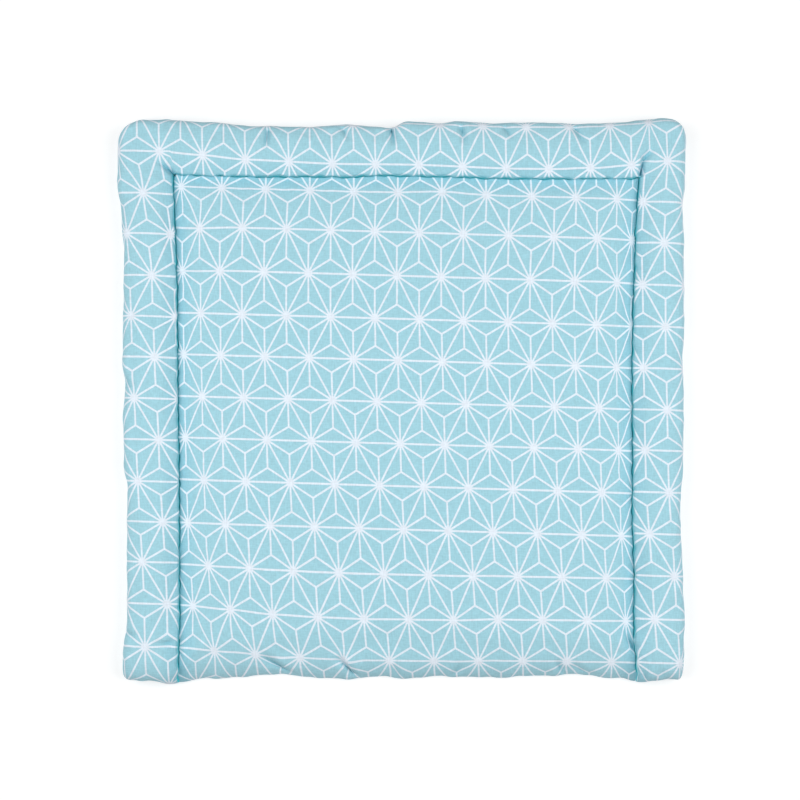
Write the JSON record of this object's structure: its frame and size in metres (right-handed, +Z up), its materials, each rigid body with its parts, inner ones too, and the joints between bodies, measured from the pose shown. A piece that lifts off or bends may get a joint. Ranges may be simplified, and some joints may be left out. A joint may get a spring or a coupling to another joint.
{
  "type": "changing mat",
  "caption": "Padded changing mat for a baby: a flat lying pad of filled printed cotton with a raised bolster down each side and across the head.",
  "frame": {"origin": "middle of the flat underside, on the surface that the mat lies on", "axes": "+Z up out of the lying pad; +Y towards the head bolster; +X to the right, seen from above with the head at the top"},
  "size_m": [0.7754, 0.7694, 0.048],
  "materials": {
    "printed_cotton": "matt"
  },
  "bodies": {
    "root": {"padded_mat": "printed_cotton"}
  },
  "joints": []
}
